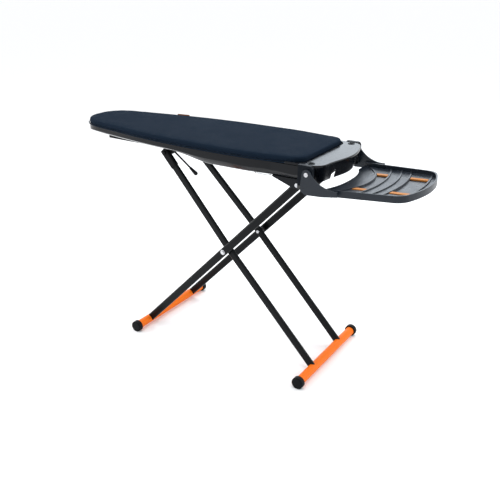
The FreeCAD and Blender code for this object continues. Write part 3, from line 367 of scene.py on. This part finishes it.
def bare_steel_finish(name, colour, dull, roughness=0.28, edge=0.0005):
    """Zinc plated or drawn steel with streaks and dull patches."""
    material, t, surface = new_material(name)
    wear = use(t, "wear", Edge_Radius=edge, Amount=0.4, Break_Up=200.0)
    streak = use(t, "streak", Streak_Scale=34.0)
    scuffs = use(t, "scratch", Density=0.6, Length=60.0)
    base = t.blend_colour(t.ramp(streak["Streak"], 0.35, 0.7), colour, dull)
    t.feed(surface["Base Color"], t.blend_colour(wear["Wear"], base, (0.85, 0.86, 0.88, 1.0)))
    rough = t.sum_of("ADD", roughness, t.sum_of("MULTIPLY", streak["Streak"], 0.16))
    t.feed(surface["Roughness"], t.sum_of("ADD", rough, t.sum_of("MULTIPLY", scuffs["Scratch"], 0.2), True))
    t.feed(surface["Normal"], bump(t, streak["Streak"], 0.00002, wear["Normal"]))
    surface["Metallic"].default_value = 1.0
    return material


def rubber_finish(name, colour, bloom, roughness=0.6, depth=0.00008):
    """Soft rubber or silicone with a chalky bloom."""
    material, t, surface = new_material(name)
    wear = use(t, "wear", Edge_Radius=0.0012, Amount=0.3, Break_Up=80.0)
    grain = use(t, "grain", Grain_Scale=900.0, Flow=0.5)
    dust = use(t, "dust", Amount=0.07, Patch_Scale=30.0)
    base = t.blend_colour(t.sum_of("MULTIPLY", grain["Mottle"], 0.3), colour, bloom)
    t.feed(surface["Base Color"], t.blend_colour(dust["Dust"], base, (0.5, 0.47, 0.44, 1.0)))
    mottle = t.sum_of("MULTIPLY", grain["Mottle"], 0.25)
    t.feed(surface["Roughness"], t.sum_of("ADD", roughness - 0.1, mottle))
    t.feed(surface["Normal"], bump(t, grain["Height"], depth, wear["Normal"]))
    return material


FINISH = {
    "cover_fabric": cotton_cover_finish("slate_cotton", (0.0045, 0.0095, 0.018, 1.0),
                                        (0.012, 0.023, 0.041, 1.0)),
    "mesh_steel": powder_coat_finish("black_mesh_paint", (0.02, 0.02, 0.022, 1.0), (0.3, 0.3, 0.3, 1.0)),
    "hull_plastic": gloss_moulding_finish("black_gloss_moulding", (0.0015, 0.0022, 0.0038, 1.0),
                                          (0.016, 0.02, 0.028, 1.0)),
    "socket_plastic": grained_moulding_finish("black_grained_moulding", (0.008, 0.009, 0.011, 1.0),
                                              (0.04, 0.043, 0.05, 1.0)),
    "cheek_plastic": grained_moulding_finish("black_satin_moulding", (0.0022, 0.0034, 0.0055, 1.0),
                                             (0.02, 0.028, 0.04, 1.0), roughness=0.36, edge=0.0014),
    "bracket_steel": powder_coat_finish("black_bracket_coat", (0.006, 0.007, 0.009, 1.0),
                                        (0.35, 0.36, 0.38, 1.0)),
    "frame_paint": powder_coat_finish("black_leg_coat", (0.0018, 0.0026, 0.0034, 1.0), (0.2, 0.23, 0.25, 1.0),
                                      roughness=0.24, amount=0.3, edge=0.0012, coat=0.06),
    "foot_orange": powder_coat_finish("orange_bar_coat", (0.80, 0.155, 0.006, 1.0), (0.85, 0.36, 0.1, 1.0),
                                      roughness=0.34, metal_at_wear=0.0, amount=0.3),
    "cap_plastic": grained_moulding_finish("black_cap_moulding", (0.0015, 0.0015, 0.002, 1.0),
                                           (0.02, 0.02, 0.023, 1.0), roughness=0.42, edge=0.001),
    "rail_steel": powder_coat_finish("black_rail_coat", (0.005, 0.0055, 0.0065, 1.0),
                                     (0.3, 0.31, 0.32, 1.0)),
    "stop_rubber": rubber_finish("black_stop_rubber", (0.012, 0.012, 0.012, 1.0), (0.05, 0.05, 0.05, 1.0)),
    "fastener_steel": bare_steel_finish("bright_fastener_zinc", (0.68, 0.69, 0.71, 1.0),
                                        (0.4, 0.4, 0.42, 1.0)),
    "spacer_nylon": grained_moulding_finish("dark_nylon", (0.018, 0.018, 0.02, 1.0),
                                            (0.07, 0.07, 0.075, 1.0)),
    "bridge_steel": powder_coat_finish("black_lever_coat", (0.007, 0.007, 0.008, 1.0),
                                       (0.4, 0.4, 0.42, 1.0)),
    "knob_plastic": grained_moulding_finish("soft_touch_black", (0.009, 0.009, 0.011, 1.0),
                                            (0.05, 0.05, 0.055, 1.0), roughness=0.55),
    "tray_plastic": grained_moulding_finish("blue_grey_tray_moulding", (0.005, 0.0078, 0.0125, 1.0),
                                            (0.028, 0.042, 0.064, 1.0), roughness=0.28, grain_scale=700.0,
                                            depth=0.00014, edge=0.0016, dusty=0.05, specular=0.32),
    "grip_rubber": rubber_finish("orange_silicone", (0.36, 0.115, 0.004, 1.0), (0.5, 0.21, 0.02, 1.0)),
    "motor_metal": powder_coat_finish("grey_motor_paint", (0.08, 0.08, 0.085, 1.0), (0.5, 0.5, 0.5, 1.0)),
    "impeller_plastic": grained_moulding_finish("grey_impeller_moulding", (0.05, 0.05, 0.055, 1.0),
                                                (0.12, 0.12, 0.13, 1.0)),
    "rocker_plastic": gloss_moulding_finish("orange_rocker_moulding", (0.7, 0.14, 0.02, 1.0),
                                            (0.8, 0.4, 0.25, 1.0), edge=0.0006),
    "wire_steel": bare_steel_finish("bright_wire", (0.75, 0.76, 0.78, 1.0), (0.5, 0.5, 0.52, 1.0),
                                    0.18, 0.0003),
    "clip_plastic": grained_moulding_finish("black_clip_moulding", (0.01, 0.01, 0.011, 1.0),
                                            (0.05, 0.05, 0.055, 1.0)),
}

slot_of = {part["node"]: part["material_slot"] for part in frame["record"]["subparts"]}
for node_name, node in nodes.items():
    node.data.materials.clear()
    node.data.materials.append(FINISH[slot_of[node_name]])


# ---------------------------------------------------------------------------------------------------------
# Mesh workshop
# ---------------------------------------------------------------------------------------------------------


def link_mesh(name, mesh, material, body):
    piece = bpy.data.objects.new(name, mesh)
    scene.collection.objects.link(piece)
    mesh.materials.clear()
    mesh.materials.append(material)
    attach(piece, body)
    return piece


# Pad sizes in metres, and how the stuffing swells it.
PAD_MESH_SIZE = 0.006
ROOM_TO_SWELL = 0.0035
STUFFING_PRESSURE = 4.0
SWELL_FRAMES = 20
SIDE_SWELL_LIMIT = 0.0042
TOP_SWELL_LIMIT = 0.0034
TOP_BAND = 0.006
CROWN_SHARE = 0.4
PUCKER_DEPTH = 0.0003
PUCKER_DEPTH_AT_TURNS = 0.0011
PUCKER_PER_RADIAN = 0.006
PUCKER_REACH = 0.03
GATHER_ABOVE_MIDDLE = 0.004
GATHER_DROP = 0.012
RIM_POINTS = 360


def cover_rim(count):
    """Points evenly spaced round the cover's outline, with outward normals and the outline's length."""
    low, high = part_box("padded_cover")
    middle_x = (low.x + high.x) / 2
    profile = {}
    for vertex in nodes["padded_cover"].data.vertices:
        if vertex.co.z < low.z + 0.002:
            angle = math.atan2(vertex.co.y * 2.5, vertex.co.x - middle_x)
            profile[angle] = vertex.co.copy()
    ring = [profile[angle] for angle in sorted(profile)]
    lengths = [0.0]
    for a, b in zip(ring, ring[1:] + ring[:1]):
        lengths.append(lengths[-1] + (Vector((b.x, b.y)) - Vector((a.x, a.y))).length)
    total = lengths[-1]
    points = []
    index = 0
    for k in range(count):
        target = total * k / count
        while lengths[index + 1] < target:
            index += 1
        share = (target - lengths[index]) / max(lengths[index + 1] - lengths[index], 1e-9)
        points.append(ring[index % len(ring)].lerp(ring[(index + 1) % len(ring)], share))
    for _ in range(2):
        points = [(points[k - 1] + points[k] * 2 + points[(k + 1) % count]) / 4 for k in range(count)]
    normals = []
    for k in range(count):
        along = points[(k + 1) % count] - points[k - 1]
        normals.append(Vector((along.y, -along.x, 0)).normalized())
    return points, normals, total


def make_padded_cover():
    """Foam pad in a stretched cotton cover: swollen by a cloth simulation, then gathered under its lower
    edge.
    """
    source = nodes["padded_cover"].data
    low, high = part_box("padded_cover")
    shape = bmesh.new()
    shape.from_mesh(source)
    bmesh.ops.remove_doubles(shape, verts=shape.verts, dist=0.00002)
    shape.normal_update()
    mesh = bpy.data.meshes.new("padded_top")
    shape.to_mesh(mesh)
    shape.free()
    pad = link_mesh("padded_top", mesh, FINISH["cover_fabric"], "board")
    even_out(pad, PAD_MESH_SIZE)
    middle_z = (low.z + high.z) / 2
    shrink_towards_core(pad, ROOM_TO_SWELL)
    before = [vertex.co.copy() for vertex in pad.data.vertices]
    cloth = pad.modifiers.new("stuffing", "CLOTH")
    cloth.settings.use_pressure = True
    cloth.settings.uniform_pressure_force = STUFFING_PRESSURE
    cloth.settings.tension_stiffness = 25.0
    cloth.settings.compression_stiffness = 12.0
    cloth.settings.bending_stiffness = 1.2
    cloth.settings.effector_weights.gravity = 0.0
    cloth.point_cache.frame_start = 1
    cloth.point_cache.frame_end = SWELL_FRAMES
    for step in range(1, SWELL_FRAMES + 1):
        scene.frame_set(step)
    swollen = pad.evaluated_get(bpy.context.evaluated_depsgraph_get()).data
    after = [vertex.co.copy() for vertex in swollen.vertices]
    pad.modifiers.remove(cloth)
    scene.frame_set(1)
    for vertex, start, end in zip(pad.data.vertices, before, after):
        move = end - start
        from_top = high.z - start.z
        cap = SIDE_SWELL_LIMIT if from_top > TOP_BAND else TOP_SWELL_LIMIT
        if move.length > cap:
            move = move.normalized() * cap
        vertex.co = start + move
        if vertex.co.z > high.z:
            vertex.co.z = high.z + (vertex.co.z - high.z) * CROWN_SHARE
        if vertex.co.z < low.z:
            vertex.co.z = low.z
    gather_lower_edge(pad, middle_z)
    smooth = pad.modifiers.new("finish", "SUBSURF")
    smooth.levels = 1
    smooth.render_levels = 1
    bake(pad)
    pad.data.polygons.foreach_set("use_smooth", [True] * len(pad.data.polygons))
    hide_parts("padded_cover")
    return pad


def bake(piece):
    """Applies every modifier to the piece's own mesh."""
    graph = bpy.context.evaluated_depsgraph_get()
    graph.update()
    done = bpy.data.meshes.new_from_object(piece.evaluated_get(graph))
    old = piece.data
    piece.modifiers.clear()
    piece.data = done
    bpy.data.meshes.remove(old)


def even_out(piece, voxel):
    """Even quads over the whole piece."""
    remesh = piece.modifiers.new("even", "REMESH")
    remesh.mode = "VOXEL"
    remesh.voxel_size = voxel
    bake(piece)


def shrink_towards_core(piece, by):
    """Draws the surface in along its normals, so that it has room to swell."""
    mesh = piece.data
    normals = [vertex.normal.copy() for vertex in mesh.vertices]
    for vertex, normal in zip(mesh.vertices, normals):
        vertex.co -= normal * by


def gather_lower_edge(piece, middle_z):
    """Soft puckers where the drawcord pulls the cover under the board, deepest round the nose."""
    rim, normals, _ = cover_rim(RIM_POINTS)
    top = middle_z + GATHER_ABOVE_MIDDLE
    for vertex in piece.data.vertices:
        co = vertex.co
        if co.z > top:
            continue

        def away(k):
            point = rim[k % RIM_POINTS]
            return (point.x - co.x) ** 2 + (point.y - co.y) ** 2

        nearest = min(range(0, RIM_POINTS, 4), key=away)
        nearest = min(range(nearest - 4, nearest + 5), key=away) % RIM_POINTS
        if math.sqrt(away(nearest)) > PUCKER_REACH:
            continue
        turn = normals[nearest].angle(normals[(nearest + 6) % RIM_POINTS])
        depth = PUCKER_DEPTH + min(turn * PUCKER_PER_RADIAN, PUCKER_DEPTH_AT_TURNS)
        drop = min((top - co.z) / GATHER_DROP, 1.0)
        fold = noise.noise(Vector((co.x * 90, co.y * 90, 0.0)))
        vertex.co -= normals[nearest] * (depth * drop * (0.5 + fold))


def make_piping(name, height, radius, stand_off, twist):
    """Corded piping sewn round the cover's edge."""
    count = 720
    rim, normals, _ = cover_rim(count)
    sides = 8
    shape = bmesh.new()
    rings = []
    for k in range(count):
        centre = Vector((rim[k].x, rim[k].y, height)) + normals[k] * stand_off
        ring = []
        for s in range(sides):
            angle = 2 * math.pi * s / sides
            bulge = radius * (1 + 0.10 * math.sin(angle * 2 + k * twist))
            ring.append(shape.verts.new(centre + normals[k] * math.cos(angle) * bulge
                                        + Vector((0, 0, math.sin(angle) * bulge))))
        rings.append(ring)
    for k in range(count):
        ahead = rings[(k + 1) % count]
        for s in range(sides):
            shape.faces.new((rings[k][s], rings[k][(s + 1) % sides], ahead[(s + 1) % sides], ahead[s]))
    bmesh.ops.recalc_face_normals(shape, faces=shape.faces)
    mesh = bpy.data.meshes.new(name)
    shape.to_mesh(mesh)
    shape.free()
    mesh.polygons.foreach_set("use_smooth", [True] * len(mesh.polygons))
    return link_mesh(name, mesh, FINISH["cover_fabric"], "board")


def make_stitching(height, stand_off, stitch_length, gap):
    """Row of raised stitches along the cover's edge, each a short rounded bar of thread."""
    count = 1440
    rim, normals, length = cover_rim(count)
    pitch = length / count
    step = max(round((stitch_length + gap) / pitch), 2)
    half = stitch_length / 2
    shape = bmesh.new()
    for k in range(0, count - step, step):
        along = (rim[(k + 1) % count] - rim[k - 1]).normalized()
        out = normals[k]
        centre = Vector((rim[k].x, rim[k].y, height)) + out * stand_off
        rings = []
        for share, radius in ((-1.0, 0.0002), (-0.6, 0.0004), (0.6, 0.0004), (1.0, 0.0002)):
            middle_of_ring = centre + along * half * share
            ring = []
            for s in range(5):
                angle = 2 * math.pi * s / 5
                offset = out * math.cos(angle) * radius + Vector((0, 0, math.sin(angle) * radius))
                ring.append(shape.verts.new(middle_of_ring + offset))
            rings.append(ring)
        for near, far in zip(rings, rings[1:]):
            for s in range(5):
                shape.faces.new((near[s], near[(s + 1) % 5], far[(s + 1) % 5], far[s]))
        shape.faces.new(rings[0][::-1])
        shape.faces.new(rings[-1])
    bmesh.ops.recalc_face_normals(shape, faces=shape.faces)
    mesh = bpy.data.meshes.new("cover_stitches")
    shape.to_mesh(mesh)
    shape.free()
    return link_mesh("cover_stitches", mesh, STITCH_THREAD, "board")


def make_side_tag(centre_x, length, height, thickness):
    """Plain folded tag of orange tape sewn into the far edge of the cover."""
    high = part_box("padded_cover")[1]
    rim, normals, _ = cover_rim(720)
    near = min(range(720), key=lambda k: abs(rim[k].x - centre_x) + (0 if rim[k].y > 0 else 10))
    along = (rim[(near + 1) % 720] - rim[near - 1]).normalized()
    out = normals[near]
    top = high.z + 0.0005
    shape = bmesh.new()
    rows = []
    for t in range(9):
        share = t / 8
        lift = math.sin(share * math.pi / 2)
        drop = top - height * (1 - lift)
        reach = 0.0006 + 0.0008 * math.sin(share * math.pi)
        row = []
        for side in (-0.5, 0.5):
            point = rim[near] + along * length * side - out * 0.012 * lift
            row.append(Vector((point.x, point.y, drop)) + out * reach)
        rows.append(row)
    for shift in (0.0, thickness):
        verts = [[shape.verts.new(p + out * shift) for p in row] for row in rows]
        for a, b in zip(verts, verts[1:]):
            shape.faces.new((a[0], a[1], b[1], b[0]))
    bmesh.ops.recalc_face_normals(shape, faces=shape.faces)
    mesh = bpy.data.meshes.new("side_tag")
    shape.to_mesh(mesh)
    shape.free()
    return link_mesh("side_tag", mesh, TAG_TAPE, "board")


STITCH_THREAD = cotton_cover_finish("dark_stitch_thread", (0.02, 0.03, 0.05, 1.0), (0.05, 0.07, 0.11, 1.0),
                                    0.0004, 0.00005)
TAG_TAPE = cotton_cover_finish("orange_tag_tape", (0.5, 0.15, 0.03, 1.0), (0.7, 0.3, 0.08, 1.0),
                               0.0006, 0.0001)

pad = make_padded_cover()
low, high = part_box("padded_cover")
make_piping("cover_piping", low.z + 0.0022, 0.0019, -0.0028, 0.9)
make_stitching(low.z + 0.0075, -0.0002, 0.0036, 0.0016)
make_side_tag(-0.44, 0.062, 0.016, 0.0006)


# ---------------------------------------------------------------------------------------------------------
# Studio
# ---------------------------------------------------------------------------------------------------------


def make_floor():
    mesh = bpy.data.meshes.new("studio_floor")
    reach = 60.0
    mesh.from_pydata([(-reach, -reach, 0), (reach, -reach, 0), (reach, reach, 0), (-reach, reach, 0)], [],
                     [(0, 1, 2, 3)])
    floor = bpy.data.objects.new("studio_floor", mesh)
    scene.collection.objects.link(floor)
    material, _, surface = new_material("pale_floor")
    surface["Base Color"].default_value = (0.93, 0.93, 0.935, 1.0)
    surface["Roughness"].default_value = 0.9
    surface["Specular IOR Level"].default_value = 0.1
    mesh.materials.append(material)
    floor.location.z = -0.0005


def make_softbox(name, at, aim, width, height, power, colour=(1.0, 1.0, 1.0)):
    light = bpy.data.lights.new(name, "AREA")
    light.shape = "RECTANGLE"
    light.size = width
    light.size_y = height
    light.energy = power
    light.color = colour
    box_light = bpy.data.objects.new(name, light)
    box_light.location = at
    box_light.rotation_euler = (Vector(aim) - Vector(at)).to_track_quat("-Z", "Y").to_euler()
    scene.collection.objects.link(box_light)


def make_world():
    world = bpy.data.worlds.new("studio_air")
    world.use_nodes = True
    background = world.node_tree.nodes["Background"]
    background.inputs["Color"].default_value = (0.98, 0.99, 1.0, 1.0)
    background.inputs["Strength"].default_value = 1.08
    scene.world = world


make_floor()
make_world()
middle = (cad_low + cad_high) / 2
make_softbox("overhead_softbox", (0.2, 0.3, 3.4), (0.0, 0.0, 0.5), 3.6, 2.6, 80.0)
make_softbox("nose_softbox", (-2.9, -1.5, 1.5), (-0.5, 0.0, 0.85), 1.6, 1.8, 46.0)
make_softbox("rear_softbox", (-1.1, 3.2, 2.0), (0.4, 0.0, 0.8), 2.8, 1.5, 22.0, (0.78, 0.89, 1.0))
make_softbox("tray_softbox", (2.7, 1.9, 1.7), (0.6, 0.0, 0.85), 1.3, 1.3, 22.0, (0.88, 0.94, 1.0))

scene.view_settings.view_transform = "Standard"
scene.view_settings.look = "None"
scene.view_settings.exposure = 0.0

camera_data = bpy.data.cameras.new("studio_camera")
camera_data.sensor_fit = "HORIZONTAL"
camera_data.sensor_width = 36.0
camera_data.lens = 48.64
camera = bpy.data.objects.new("studio_camera", camera_data)
scene.collection.objects.link(camera)
scene.camera = camera
round_by = math.radians(32.6)
up_by = math.radians(23.33)
back = Vector((math.sin(round_by) * math.cos(up_by), -math.cos(round_by) * math.cos(up_by), math.sin(up_by)))
camera.location = Vector((middle.x + 0.039, middle.y, 0.42704)) + back * 2.96472
camera.rotation_mode = "QUATERNION"
camera.rotation_quaternion = (-back).to_track_quat("-Z", "Y")
